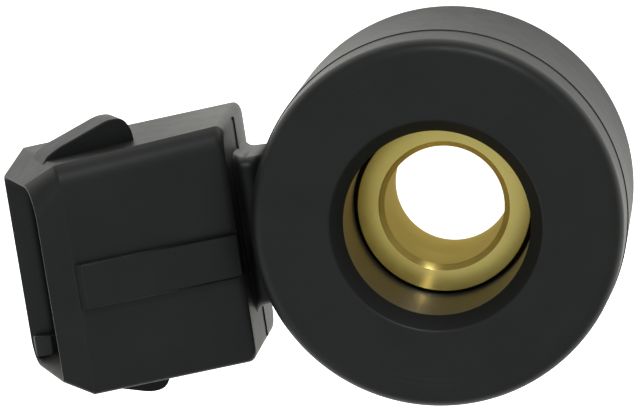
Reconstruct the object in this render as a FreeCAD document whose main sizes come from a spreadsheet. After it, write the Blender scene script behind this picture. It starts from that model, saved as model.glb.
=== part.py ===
import FreeCAD, Part
import math
import os
import re
import Sketcher

# Engine knock sensor: a moulded ring over a clamped piezo stack on a turned brass sleeve,
# with a moulded two-way connector hood that leans up from the ring.
# The origin is the centre of the bolt bore on the contact face, +Z runs up the bore and
# the connector points along -X. All sizes are in millimetres and degrees.

document = FreeCAD.newDocument("knock_sensor")
dims = document.addObject("Spreadsheet::Sheet", "dims")

SIZES = [
    # turned sleeve
    ("bolt_bore", 8.4, "diameter of the bolt bore"),
    ("bore_chamfer", 0.4, "chamfer at the upper end of the bolt bore and round the contact face"),
    ("sleeve_diameter", 12.8, "outer diameter of the sleeve tube and bore of the mass"),
    ("sleeve_height", 8.8, "contact face to the clamping face of the sleeve"),
    ("relief_width", 0.35, "step turned round the clamping end, clear of the mass"),
    ("relief_depth", 1.2, "step turned round the clamping end, clear of the mass"),
    ("flange_diameter", 21.0, "contact flange"),
    ("flange_thickness", 2.0, "contact flange"),
    # clamped stack
    ("tube_wall", 0.6, "insulating tube round the sleeve"),
    ("washer_thickness", 0.3, "insulating washers"),
    ("contact_thickness", 0.3, "contact discs"),
    ("stack_diameter", 20.0, "washers, contact discs, piezo ring, spring and mass"),
    ("piezo_thickness", 2.0, "piezo ring"),
    ("spring_thickness", 0.6, "disc spring, clamped flat"),
    ("mass_top", 14.8, "upper end of the seismic mass above the contact face"),
    # moulded ring
    ("ring_bottom", 0.4, "moulded underside above the contact face"),
    ("ring_top", 15.9, "moulded upper face above the contact face"),
    ("ring_bottom_diameter", 25.9, "ring at its underside"),
    ("ring_parting_diameter", 25.8, "ring at its parting line"),
    ("ring_top_diameter", 25.4, "ring at its upper face"),
    ("ring_parting_height", 12.2, "parting line above the contact face"),
    ("ring_top_round", 1.0, "round between side and upper face"),
    ("ring_bottom_chamfer", 0.4, "chamfer between side and underside"),
    ("funnel_diameter", 14.6, "countersink in the upper face"),
    # neck between ring and hood
    ("neck_width", 10.6, "across the neck"),
    ("neck_bottom", 3.6, "underside of the neck above the contact face"),
    ("neck_top", 9.8, "upper side of the neck above the contact face"),
    ("neck_round", 0.8, "long edges of the neck"),
    ("neck_flare", 0.5, "growth of the neck where it meets the hood"),
    # connector hood
    ("hood_tilt", 25.0, "lean of the hood above the plane of the ring"),
    ("hood_back", 14.0, "bore axis to the end face of the hood"),
    ("hood_height", 13.0, "upper back edge of the hood above the contact face"),
    ("hood_length", 11.7, "upper back edge to the start of the mouth bevel"),
    ("hood_width", 16.9, "across the hood at its upper back edge"),
    ("hood_mouth_width", 16.3, "across the hood at the mouth bevel"),
    ("hood_back_depth", 9.4, "depth of the hood at its upper back edge"),
    ("hood_mouth_depth", 10.0, "depth of the hood at the mouth bevel"),
    ("hood_upper_round", 1.6, "upper long edges of the hood and of its mouth bevel"),
    ("hood_lower_round", 0.8, "lower long edges of the hood"),
    ("mouth_bevel", 1.95, "length of the bevel round the mouth"),
    ("rim_width", 13.6, "across the rim"),
    ("rim_inset", 0.35, "step of the bevel above the rim"),
    ("rim_rise", 0.85, "step of the bevel below the rim"),
    ("rim_round", 1.3, "corners of the opening at the rim"),
    ("rim_edge", 0.15, "flat edge of the rim outside the lead-in"),
    ("lead_in", 1.3, "length of the slope from the rim to the inner walls"),
    ("hood_wall", 0.8, "wall of the hood behind the lead-in"),
    ("cavity_round", 0.7, "inner corners of the hood"),
    ("cavity_length", 12.0, "rim to the floor of the hood"),
    ("key_width", 1.2, "polarising rib in one inner corner"),
    ("key_height", 0.9, "polarising rib in one inner corner"),
    ("key_setback", 0.4, "rim to the front of the polarising rib"),
    # raised pad on the upper side of the hood
    ("pad_upper_edge", 0.9, "edge of the raised pad beside the centre line"),
    ("pad_width", 3.2, "raised pad"),
    ("pad_height", 0.6, "raised pad"),
    # latch ramps on both sides of the hood
    ("ramp_peak", 7.0, "back edge of the hood to the peak of the ramp"),
    ("ramp_end", 5.0, "back edge of the hood to the heel of the ramp"),
    ("ramp_height", 1.57, "peak of the ramp above its foot at the mouth bevel"),
    ("ramp_width", 3.2, "ramp across its flanks"),
    ("ramp_depth", 3.2, "upper side of the hood to the ramp"),
    ("ramp_crest", 0.7, "length of the peak of the ramp"),
    # terminals
    ("pin_pitch", 5.0, "between the centres of the two terminals"),
    ("pin_width", 2.3, "terminal strip"),
    ("pin_thickness", 0.64, "terminal strip"),
    ("pin_taper", 0.9, "length of the lead-in at the tip"),
    ("pin_reach", 7.8, "upper back edge of the hood to the tip, along the hood"),
    ("leg_reach", 11.7, "bore axis to the upright leg of the terminals"),
    ("leg_rise", 0.87, "foot of the signal terminal to the top of the upright legs"),
    ("knee_gap", 0.2, "bleed resistor to the bend of the terminals"),
    ("foot_gap", 0.6, "stack to the foot of the terminals"),
    ("chip_length", 3.6, "bleed resistor across both terminals"),
    ("chip_width", 1.6, "bleed resistor along the terminals"),
    ("chip_thickness", 0.55, "bleed resistor"),
    ("chip_place", 0.7, "bleed resistor behind the upper back edge of the hood, along the hood"),
]

for row, (alias, size, note) in enumerate(SIZES, start=1):
    dims.set("A%d" % row, alias)
    dims.set("B%d" % row, str(size))
    dims.set("C%d" % row, note)
    dims.setAlias("B%d" % row, alias)

DERIVED = [
    ("bore_radius", "=bolt_bore / 2"),
    ("sleeve_radius", "=sleeve_diameter / 2"),
    ("flange_radius", "=flange_diameter / 2"),
    ("tube_radius", "=sleeve_radius + tube_wall"),
    ("stack_radius", "=stack_diameter / 2"),
    ("lower_contact_height", "=flange_thickness + washer_thickness"),
    ("piezo_height", "=lower_contact_height + contact_thickness"),
    ("upper_contact_height", "=piezo_height + piezo_thickness"),
    ("upper_washer_height", "=upper_contact_height + contact_thickness"),
    ("spring_height", "=upper_washer_height + washer_thickness"),
    ("mass_height", "=spring_height + spring_thickness"),
    ("rim_place", "=hood_length + mouth_bevel"),
    ("hood_fall", "=(hood_mouth_depth - hood_back_depth) / hood_length"),
    ("hood_draft", "=(hood_width - hood_mouth_width) / 2 / hood_length"),
    ("end_depth", "=hood_back_depth / (1 + hood_fall * tan(hood_tilt))"),
    ("mouth_width", "=rim_width - 2 * hood_wall"),
    ("mouth_top", "=-rim_inset - hood_wall"),
    ("mouth_floor", "=rim_rise + hood_wall - hood_mouth_depth"),
    ("hood_middle", "=hood_mouth_depth / 2"),
    ("middle_back", "=hood_back + hood_middle * sin(hood_tilt)"),
    ("middle_height", "=hood_height - hood_middle * cos(hood_tilt)"),
    ("half_strip", "=pin_thickness / 2"),
    ("foot_reach", "=stack_radius + foot_gap"),
    ("tab_reach", "=leg_reach + half_strip"),
    ("leg_top", "=upper_washer_height + pin_thickness + leg_rise"),
    ("knee_back", "=middle_back - (chip_place + knee_gap) * cos(hood_tilt)"),
    ("knee_height", "=middle_height - (chip_place + knee_gap) * sin(hood_tilt)"),
]

for row, (alias, formula) in enumerate(DERIVED, start=len(SIZES) + 1):
    dims.set("A%d" % row, alias)
    dims.setAlias("B%d" % row, alias)
    dims.set("B%d" % row, formula)
document.recompute()

ALIASES = [alias for alias, *_ in SIZES + DERIVED]


def bound(formula):
    """Formula over the sheet's aliases, as the document's expressions write it."""
    return re.sub("[a-z_]+", lambda word: "dims." * (word[0] in ALIASES) + word[0], formula)


def number(formula):
    """Present value of a formula over the sheet."""
    result = dims.evalExpression(bound(formula))
    return float(getattr(result, "Value", result))


def new_body(label):
    body = document.addObject("PartDesign::Body", label)
    body.Label = label
    return body


def new_sketch(body, name, role, offset=None):
    """Empty sketch on one of the body's own origin planes, moved along its normal by offset."""
    sketch = body.newObject("Sketcher::SketchObject", name)
    plane = next(item for item in body.Origin.OriginFeatures if item.Role == role)
    sketch.AttachmentSupport = [(plane, "")]
    sketch.MapMode = "FlatFace"
    if offset:
        sketch.setExpression("AttachmentOffset.Base.z", bound(offset))
    document.recompute()
    return sketch


def fix(sketch, kind, first, place, formula):
    """Distance of a point of the sketch from the sketch's origin, bound to the sheet."""
    index = sketch.addConstraint(Sketcher.Constraint(kind, -1, 1, first, place, number(formula)))
    sketch.setExpression("Constraints[%d]" % index, bound(formula))


def draw_outline(sketch, corners):
    """Closed run of straight lines through corners, each a pair of formulas."""
    points = [FreeCAD.Vector(number(across), number(up), 0) for across, up in corners]
    first = sketch.GeometryCount
    count = len(points)
    for index in range(count):
        sketch.addGeometry(Part.LineSegment(points[index], points[(index + 1) % count]), False)
    for index in range(count):
        following = first + (index + 1) % count
        sketch.addConstraint(Sketcher.Constraint("Coincident", first + index, 2, following, 1))
    for index, (across, up) in enumerate(corners):
        fix(sketch, "DistanceX", first + index, 1, across)
        fix(sketch, "DistanceY", first + index, 1, up)


def draw_rounded(sketch, half_width, top, bottom, upper_round, lower_round=None):
    """Rectangle about the sketch's vertical axis; a corner with no radius stays sharp."""
    corners = [(1, top, upper_round, -1), (-1, top, upper_round, -1)]
    corners += [(-1, bottom, lower_round, 1), (1, bottom, lower_round, 1)]
    arcs, arrivals, leavings = [], [], []
    for quarter, (side, level, radius, inward) in enumerate(corners):
        point = FreeCAD.Vector(side * number(half_width), number(level), 0)
        arc = None
        if radius:
            centre = point + FreeCAD.Vector(-side, inward, 0) * number(radius)
            circle = Part.Circle(centre, FreeCAD.Vector(0, 0, 1), number(radius))
            start = quarter * math.pi / 2
            arc = sketch.addGeometry(Part.ArcOfCircle(circle, start, start + math.pi / 2), False)
        arcs.append(arc)
        arrivals.append(sketch.Geometry[arc].StartPoint if radius else point)
        leavings.append(sketch.Geometry[arc].EndPoint if radius else point)
    following = arrivals[1:] + arrivals[:1]
    lines = [sketch.addGeometry(Part.LineSegment(*ends), False) for ends in zip(leavings, following)]
    for quarter, (side, level, radius, inward) in enumerate(corners):
        arc, before, after = arcs[quarter], lines[quarter - 1], lines[quarter]
        sign = "" if side > 0 else "-"
        if not radius:
            sketch.addConstraint(Sketcher.Constraint("Coincident", before, 2, after, 1))
            fix(sketch, "DistanceX", after, 1, "%s(%s)" % (sign, half_width))
            fix(sketch, "DistanceY", after, 1, level)
            continue
        sketch.addConstraint(Sketcher.Constraint("Tangent", before, 2, arc, 1))
        sketch.addConstraint(Sketcher.Constraint("Tangent", arc, 2, after, 1))
        fix(sketch, "DistanceX", arc, 3, "%s(%s - %s)" % (sign, half_width, radius))
        fix(sketch, "DistanceY", arc, 3, "%s %s %s" % (level, "-" if inward < 0 else "+", radius))
        index = sketch.addConstraint(Sketcher.Constraint("Radius", arc, number(radius)))
        sketch.setExpression("Constraints[%d]" % index, bound(radius))


def turn(body, sketch, kind="PartDesign::Revolution"):
    """Full turn of a sketch about the body's own upright axis."""
    feature = body.newObject(kind, body.Label + "_turned")
    axis = next(item for item in body.Origin.OriginFeatures if item.Role == "Z_Axis")
    feature.Profile = sketch
    feature.ReferenceAxis = (axis, [""])
    feature.Angle = 360
    document.recompute()
    return feature


def pad(body, sketch, length, midplane=False, backward=False):
    feature = body.newObject("PartDesign::Pad", sketch.Name + "_pad")
    feature.Profile = sketch
    feature.setExpression("Length", bound(length))
    feature.Midplane = midplane
    feature.Reversed = backward
    document.recompute()
    return feature


def cut_away(body, sketch, length, midplane=False, backward=False):
    """Pocket of a sketch, checked to have taken material away."""
    before = body.Shape.Volume
    feature = body.newObject("PartDesign::Pocket", sketch.Name + "_pocket")
    feature.Profile = sketch
    feature.setExpression("Length", bound(length))
    feature.Midplane = midplane
    feature.Reversed = backward
    document.recompute()
    if body.Shape.Volume >= before:
        raise ValueError(sketch.Name + " cuts nothing")
    return feature


def loft(body, sections, kind="PartDesign::AdditiveLoft"):
    feature = body.newObject(kind, sections[0].Name + "_loft")
    feature.Profile = sections[0]
    feature.Sections = sections[1:]
    feature.Ruled = True
    document.recompute()
    return feature


def round_edges(body, name, edges, radius):
    """Fillet on the edges of the body's tip that the test picks."""
    tip = body.Tip
    picked = ["Edge%d" % (index + 1) for index, edge in enumerate(tip.Shape.Edges) if edges(edge)]
    feature = body.newObject("PartDesign::Fillet", name)
    feature.Base = (tip, picked)
    feature.setExpression("Radius", bound(radius))
    document.recompute()
    return feature


def turned_piece(label, profile):
    """Turned or stamped ring from an outline of radius and height."""
    body = new_body(label)
    sketch = new_sketch(body, label + "_profile", "XZ_Plane")
    draw_outline(sketch, profile)
    turn(body, sketch)
    return body


def flat_ring(label, outer, bottom, thickness):
    """Flat washer round the insulating tube."""
    top = "%s + %s" % (bottom, thickness)
    corners = [("tube_radius", bottom), (outer, bottom), (outer, top), ("tube_radius", top)]
    return turned_piece(label, corners)


def make_sleeve():
    """Turned brass sleeve: contact flange, tube, stepped and chamfered clamping end."""
    return turned_piece("mounting_sleeve", [
        ("bore_radius", "0"),
        ("flange_radius - bore_chamfer", "0"),
        ("flange_radius", "bore_chamfer"),
        ("flange_radius", "flange_thickness"),
        ("sleeve_radius", "flange_thickness"),
        ("sleeve_radius", "sleeve_height - relief_depth"),
        ("sleeve_radius - relief_width", "sleeve_height - relief_depth"),
        ("sleeve_radius - relief_width", "sleeve_height"),
        ("bore_radius + bore_chamfer", "sleeve_height"),
        ("bore_radius", "sleeve_height - bore_chamfer"),
    ])


def make_insulating_tube():
    """Thin tube that keeps the stack clear of the sleeve."""
    return turned_piece("insulating_tube", [
        ("sleeve_radius", "flange_thickness"),
        ("tube_radius", "flange_thickness"),
        ("tube_radius", "mass_height"),
        ("sleeve_radius", "mass_height"),
    ])


def make_contact(label, height, side):
    """Stamped contact disc with a tab under the foot of its terminal."""
    body = flat_ring(label, "stack_radius", height, "contact_thickness")
    sketch = new_sketch(body, label + "_tab", "XY_Plane", height)
    centre = "%s * pin_pitch / 2" % side
    inner = "-(tube_radius + stack_radius) / 2"
    near = "%s - pin_width / 2" % centre
    far = "%s + pin_width / 2" % centre
    draw_outline(sketch, [("-tab_reach", near), (inner, near), (inner, far), ("-tab_reach", far)])
    pad(body, sketch, "contact_thickness")
    return body


def make_mass():
    """Turned brass mass, screwed on the sleeve, whose bore shows above the sleeve's end."""
    return turned_piece("seismic_mass", [
        ("sleeve_radius", "mass_height"),
        ("stack_radius", "mass_height"),
        ("stack_radius", "mass_top"),
        ("sleeve_radius", "mass_top"),
    ])


def make_pin(label, side, foot):
    """Stamped terminal: blade along the hood, slanted link, upright leg and a foot on its tab."""
    body = new_body(label)
    body.setExpression("Placement.Base.y", bound("%s * pin_pitch / 2" % side))
    sketch = new_sketch(body, label + "_profile", "XZ_Plane")
    rise = "half_strip / cos(hood_tilt)"
    outer_leg = "-leg_reach - half_strip"
    inner_leg = "-leg_reach + half_strip"
    tip_across = "-middle_back - pin_reach * cos(hood_tilt)"
    tip_up = "middle_height + pin_reach * sin(hood_tilt)"
    root_across = "-middle_back - (pin_reach - pin_taper) * cos(hood_tilt)"
    root_up = "middle_height + (pin_reach - pin_taper) * sin(hood_tilt)"
    across = "half_strip * sin(hood_tilt)"
    up = "half_strip * cos(hood_tilt)"
    draw_outline(sketch, [
        ("%s - %s / 2" % (tip_across, across), "%s - %s / 2" % (tip_up, up)),
        ("%s - %s" % (root_across, across), "%s - %s" % (root_up, up)),
        ("-knee_back", "knee_height - " + rise),
        (outer_leg, "leg_top - " + rise),
        (outer_leg, foot),
        ("-foot_reach", foot),
        ("-foot_reach", foot + " + pin_thickness"),
        (inner_leg, foot + " + pin_thickness"),
        (inner_leg, "leg_top + " + rise),
        ("-knee_back", "knee_height + " + rise),
        ("%s + %s" % (root_across, across), "%s + %s" % (root_up, up)),
        ("%s + %s / 2" % (tip_across, across), "%s + %s / 2" % (tip_up, up)),
    ])
    pad(body, sketch, "pin_width", midplane=True)
    return body


def lean(body):
    """Place a body that is drawn along the hood: its origin is the hood's upper back edge."""
    body.Placement = FreeCAD.Placement(FreeCAD.Vector(), FreeCAD.Rotation(FreeCAD.Vector(0, 1, 0), 1))
    body.setExpression("Placement.Base.x", bound("-hood_back"))
    body.setExpression("Placement.Base.z", bound("hood_height"))
    body.setExpression("Placement.Rotation.Angle", bound("hood_tilt"))
    document.recompute()


def make_resistor():
    """Chip resistor soldered across both terminals."""
    body = new_body("bleed_resistor")
    lean(body)
    sketch = new_sketch(body, "bleed_resistor_plan", "XY_Plane", "half_strip - hood_middle")
    near = "chip_place - chip_width"
    half = "chip_length / 2"
    draw_outline(sketch, [(near, "-" + half), ("chip_place", "-" + half), ("chip_place", half), (near, half)])
    pad(body, sketch, "chip_thickness")
    return body


def make_ring():
    """Moulded ring round the stack, countersunk above; its upper round is three short cones."""
    rounded = [("ring_top_diameter / 2 - ring_top_round * (1 - cos(%d))" % angle,
                "ring_top - ring_top_round * (1 - sin(%d))" % angle) for angle in (0, 30, 60, 90)]
    return turned_piece("moulded_ring", [
        ("sleeve_radius", "ring_bottom"),
        ("ring_bottom_diameter / 2 - ring_bottom_chamfer", "ring_bottom"),
        ("ring_bottom_diameter / 2", "ring_bottom + ring_bottom_chamfer"),
        ("ring_parting_diameter / 2", "ring_parting_height"),
        *rounded,
        ("funnel_diameter / 2", "ring_top"),
        ("sleeve_radius", "mass_top"),
    ])


def section(body, name, place, *outline):
    """Rounded rectangle square to the body's X axis, at that place along it."""
    sketch = new_sketch(body, name, "YZ_Plane", place)
    draw_rounded(sketch, *outline)
    return sketch


def make_neck():
    """Moulded block that carries the hood on the ring and flares out where it meets the hood."""
    body = new_body("neck")
    rounds = ("neck_round", "neck_round")
    plain = ("neck_width / 2", "neck_top", "neck_bottom") + rounds
    flared = ("neck_width / 2 + neck_flare", "neck_top + neck_flare", "neck_bottom - neck_flare") + rounds
    pad(body, section(body, "neck_section", "-hood_back - neck_round", *plain),
        "hood_back + neck_round - stack_radius")
    loft(body, [section(body, "flare_start", "-hood_back + neck_flare", *plain),
                section(body, "flare_end", "-hood_back", *flared)])
    return body


def corner_edges(test):
    """Test for the edges that run along the hood, bevel corners included, at a level that passes."""
    shortest = number("mouth_bevel / 2")

    def picks(edge):
        box = edge.BoundBox
        return box.XLength > shortest and test((box.ZMin + box.ZMax) / 2)
    return picks


def make_hood():
    """Connector hood, drawn flat along -X: its side view, trimmed to its plan, beveled at the mouth."""
    body = new_body("hood")
    side = new_sketch(body, "hood_side", "XZ_Plane")
    draw_outline(side, [
        ("0", "0"),
        ("-hood_length", "0"),
        ("-rim_place", "-rim_inset"),
        ("-rim_place", "-hood_mouth_depth - hood_fall * mouth_bevel"),
        ("end_depth * tan(hood_tilt)", "-end_depth"),
    ])
    pad(body, side, "2 * hood_width", midplane=True)
    flanks = new_sketch(body, "hood_flanks", "XY_Plane")
    beyond = "-rim_place - mouth_bevel"
    for sign in ("", "-"):
        draw_outline(flanks, [
            ("hood_mouth_depth", sign + "2 * hood_width"),
            ("hood_mouth_depth", sign + "(hood_width / 2 + hood_draft * hood_mouth_depth)"),
            (beyond, sign + "(hood_mouth_width / 2 - 2 * hood_draft * mouth_bevel)"),
            (beyond, sign + "2 * hood_width"),
        ])
    cut_away(body, flanks, "3 * hood_mouth_depth", midplane=True)
    middle = number("hood_middle")
    round_edges(body, "hood_lower_edges", corner_edges(lambda level: level < -middle), "hood_lower_round")
    bevel_mouth(body, beyond)
    round_edges(body, "hood_upper_edges", corner_edges(lambda level: level > -middle / 2), "hood_upper_round")
    add_pad(body)
    for side in ("1", "-1"):
        add_ramp(body, side)
    cut_cavity(body)
    lean(body)
    return body


def bevel_mouth(body, beyond):
    """Bevels towards the rim below and on both sides."""
    below = new_sketch(body, "lower_bevel", "XZ_Plane")
    draw_outline(below, [
        ("-hood_length", "-hood_mouth_depth"),
        ("-rim_place", "rim_rise - hood_mouth_depth"),
        (beyond, "rim_rise - hood_mouth_depth"),
        (beyond, "-2 * hood_mouth_depth"),
        ("-hood_length", "-2 * hood_mouth_depth"),
    ])
    cut_away(body, below, "2 * hood_width", midplane=True)
    beside = new_sketch(body, "side_bevels", "XY_Plane")
    for sign in ("", "-"):
        draw_outline(beside, [
            ("-hood_length", sign + "hood_mouth_width / 2"),
            ("-rim_place", sign + "rim_width / 2"),
            (beyond, sign + "rim_width / 2"),
            (beyond, sign + "hood_width"),
            ("-hood_length", sign + "hood_width"),
        ])
    cut_away(body, beside, "3 * hood_mouth_depth", midplane=True)


def add_pad(body):
    """Raised pad on the upper side, beveled towards the mouth."""
    sketch = new_sketch(body, "pad_profile", "XZ_Plane", "pad_width / 2 - pad_upper_edge")
    draw_outline(sketch, [
        ("-hood_length", "-pad_height"),
        ("pad_height * tan(hood_tilt)", "-pad_height"),
        ("-pad_height * tan(hood_tilt)", "pad_height"),
        ("-hood_length + pad_height", "pad_height"),
        ("-hood_length", "0"),
    ])
    pad(body, sketch, "pad_width", midplane=True)


def add_ramp(body, side):
    """Latch ramp that rises from the mouth and drops behind its rounded peak."""
    name = "left_ramp" if side == "1" else "right_ramp"
    sketch = new_sketch(body, name, "XY_Plane", "-ramp_depth")
    foot = "%s * hood_mouth_width / 2" % side
    root = "%s * (hood_mouth_width / 2 - ramp_crest)" % side
    peak = "%s * (hood_mouth_width / 2 + ramp_height)" % side
    draw_outline(sketch, [
        ("-hood_length", root),
        ("-hood_length", foot),
        ("-ramp_peak", peak),
        ("-ramp_peak + ramp_crest", peak),
        ("-ramp_end", foot),
        ("-ramp_end", root),
    ])
    pad(body, sketch, "ramp_width", backward=True)
    level = number("hood_mouth_width / 2 + ramp_height")

    def at_peak(edge):
        ends = [vertex.Point for vertex in edge.Vertexes]
        upright = len(ends) == 2 and abs(ends[0].x - ends[1].x) + abs(ends[0].y - ends[1].y) < 0.001
        return upright and abs(ends[0].y - float(side) * level) < 0.001

    round_edges(body, name + "_peak", at_peak, "ramp_crest / 2")


def cut_cavity(body):
    """Hollow for the mating plug, with a lead-in at the rim and a polarising rib in one corner."""
    inner = ("mouth_width / 2", "mouth_top", "mouth_floor", "cavity_round", "cavity_round")
    cut_away(body, section(body, "cavity_section", "-rim_place", *inner), "cavity_length", backward=True)
    opening = section(body, "lead_in_start", "-rim_place", "rim_width / 2 - rim_edge",
                      "-rim_inset - rim_edge", "rim_rise + rim_edge - hood_mouth_depth",
                      "rim_round", "rim_round")
    loft(body, [opening, section(body, "lead_in_end", "lead_in - rim_place", *inner)],
         "PartDesign::SubtractiveLoft")
    key = new_sketch(body, "key_section", "YZ_Plane", "-rim_place + key_setback")
    buried = "-mouth_width / 2 - hood_wall / 2"
    flank = "-mouth_width / 2 + key_width"
    draw_outline(key, [
        (buried, "mouth_floor - hood_wall / 2"),
        (flank, "mouth_floor - hood_wall / 2"),
        (flank, "mouth_floor + key_height"),
        (buried, "mouth_floor + key_height"),
    ])
    pad(body, key, "cavity_length - key_setback")


def make_housing(inner):
    """One moulding: ring, neck and hood, cast round everything that it holds."""
    outside = document.addObject("Part::MultiFuse", "moulding")
    outside.Shapes = [make_ring(), make_neck(), make_hood()]
    outside.Refine = True
    held = document.addObject("Part::MultiFuse", "held_pieces")
    held.Shapes = inner
    housing = document.addObject("Part::Cut", "housing")
    housing.Base = outside
    housing.Tool = held
    housing.Refine = True
    housing.Label = "housing"
    document.recompute()
    return housing


held_pieces = [
    make_sleeve(),
    make_insulating_tube(),
    flat_ring("lower_insulator", "stack_radius", "flange_thickness", "washer_thickness"),
    make_contact("lower_contact", "lower_contact_height", "-1"),
    flat_ring("piezo_ring", "stack_radius", "piezo_height", "piezo_thickness"),
    make_contact("upper_contact", "upper_contact_height", "1"),
    flat_ring("upper_insulator", "stack_radius", "upper_washer_height", "washer_thickness"),
    flat_ring("disc_spring", "stack_radius", "spring_height", "spring_thickness"),
    make_mass(),
    make_pin("ground_pin", "-1", "piezo_height"),
    make_pin("signal_pin", "1", "upper_washer_height"),
    make_resistor(),
]
housing = make_housing(held_pieces)
nodes = [housing] + held_pieces
document.recompute()

for item in document.Objects:
    if "Invalid" in item.State or "Error" in item.State:
        raise RuntimeError("%s failed: %s" % (item.Label, item.State))
for node in nodes:
    if node.Shape.isNull() or not node.Shape.isValid():
        raise RuntimeError(node.Label + " has no valid shape")
    if len(node.Shape.Solids) != 1:
        raise RuntimeError("%s has %d solids" % (node.Label, len(node.Shape.Solids)))

os.makedirs("parts", exist_ok=True)
for node in nodes:
    node.Shape.exportStep("parts/%s.step" % node.Label)
    box = node.Shape.BoundBox
    print("%-16s volume %9.2f  x %.2f..%.2f  y %.2f..%.2f  z %.2f..%.2f" % (
        node.Label, node.Shape.Volume, box.XMin, box.XMax, box.YMin, box.YMax, box.ZMin, box.ZMax))
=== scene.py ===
"""Engine knock sensor: the looks of its moulded ring, of the connector hood that leans away from
it, of the turned brass in the ring's bore and of the terminals in the hood.

Lengths are in metres in the part's own frame: +Z up the bolt bore, -X towards the connector,
the contact face at zero height."""

import math

import bpy
import numpy as np
from bpy.props import FloatProperty, FloatVectorProperty, PointerProperty
from bpy.types import NodeSocket, Operator, Panel, PropertyGroup
from mathutils import Matrix, Vector


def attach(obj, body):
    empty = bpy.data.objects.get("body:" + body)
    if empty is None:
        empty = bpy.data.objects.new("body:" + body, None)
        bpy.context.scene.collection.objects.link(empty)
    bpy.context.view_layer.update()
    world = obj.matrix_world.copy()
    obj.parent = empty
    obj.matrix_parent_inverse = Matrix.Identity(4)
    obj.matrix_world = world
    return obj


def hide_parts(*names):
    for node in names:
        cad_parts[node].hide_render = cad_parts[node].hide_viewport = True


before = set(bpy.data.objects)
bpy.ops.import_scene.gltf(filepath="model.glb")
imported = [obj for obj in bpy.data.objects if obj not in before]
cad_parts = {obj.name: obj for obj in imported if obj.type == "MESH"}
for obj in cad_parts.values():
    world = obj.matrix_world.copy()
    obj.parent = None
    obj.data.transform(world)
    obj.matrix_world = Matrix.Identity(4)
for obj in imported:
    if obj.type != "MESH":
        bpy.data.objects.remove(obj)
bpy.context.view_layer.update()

bl_info = {
    "name": "Engine knock sensor",
    "version": (1, 0, 0),
    "blender": (4, 5, 0),
    "location": "View3D > Sidebar > Knock sensor",
    "description": "Dresses a ring-shaped engine knock sensor with a connector hood",
    "category": "Add Mesh",
}

MM = 0.001


def length(name, description, millimetres):
    """Property that holds a length, with its default given in millimetres."""
    return FloatProperty(name=name, description=description, default=millimetres * MM,
                         subtype="DISTANCE", unit="LENGTH", precision=5)


def angle(name, description, degrees):
    """Property that holds an angle, with its default given in degrees."""
    return FloatProperty(name=name, description=description, default=math.radians(degrees),
                         subtype="ANGLE")


def colour(name, description, default):
    """Property that holds a colour."""
    return FloatVectorProperty(name=name, description=description, default=default,
                               subtype="COLOR", size=3, min=0, max=1)


class RingSizes(PropertyGroup):
    """Sizes of the moulded ring"""
    foot_radius: length("Foot radius", "Ring at its underside", 12.95)
    foot_height: length("Foot height", "Underside above the contact face", 0.4)
    foot_round: length("Foot round", "Round between side and underside", 0.35)
    parting_radius: length("Parting radius", "Ring at its parting line", 12.92)
    parting_height: length("Parting height", "Parting line above the contact face", 12.2)
    parting_step: length("Parting step", "Ledge that the mould's joint leaves", 0.07)
    upper_radius: length("Upper radius", "Ring at its upper face", 12.7)
    upper_height: length("Upper height", "Upper face above the contact face", 15.9)
    upper_round: length("Upper round", "Round between side and upper face", 1.0)
    funnel_radius: length("Funnel radius", "Countersink in the upper face", 7.3)
    funnel_round: length("Funnel round", "Outer edge of the countersink", 0.3)


class BrassSizes(PropertyGroup):
    """Sizes of the sleeve and the mass"""
    bore_radius: length("Bore radius", "Bolt bore through the sleeve", 4.2)
    bore_chamfer: length("Bore chamfer", "Upper edge of the bolt bore", 0.4)
    sleeve_radius: length("Sleeve radius", "Outside of the sleeve", 6.4)
    sleeve_height: length("Sleeve height", "Clamping face of the sleeve", 8.8)
    step_inset: length("Step inset", "How much the sleeve's end is turned down", 0.35)
    step_depth: length("Step depth", "Length of the sleeve's turned-down end", 1.2)
    flange_radius: length("Flange radius", "Contact flange of the sleeve", 10.5)
    flange_height: length("Flange height", "Thickness of the contact flange", 2.0)
    flange_chamfer: length("Flange chamfer", "Lower edge of the contact flange", 0.4)
    mass_radius: length("Mass radius", "Outside of the seismic mass", 10.0)
    mass_bottom: length("Mass bottom", "Lower end of the seismic mass", 5.8)
    mass_top: length("Mass top", "Upper end of the seismic mass", 14.8)


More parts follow.
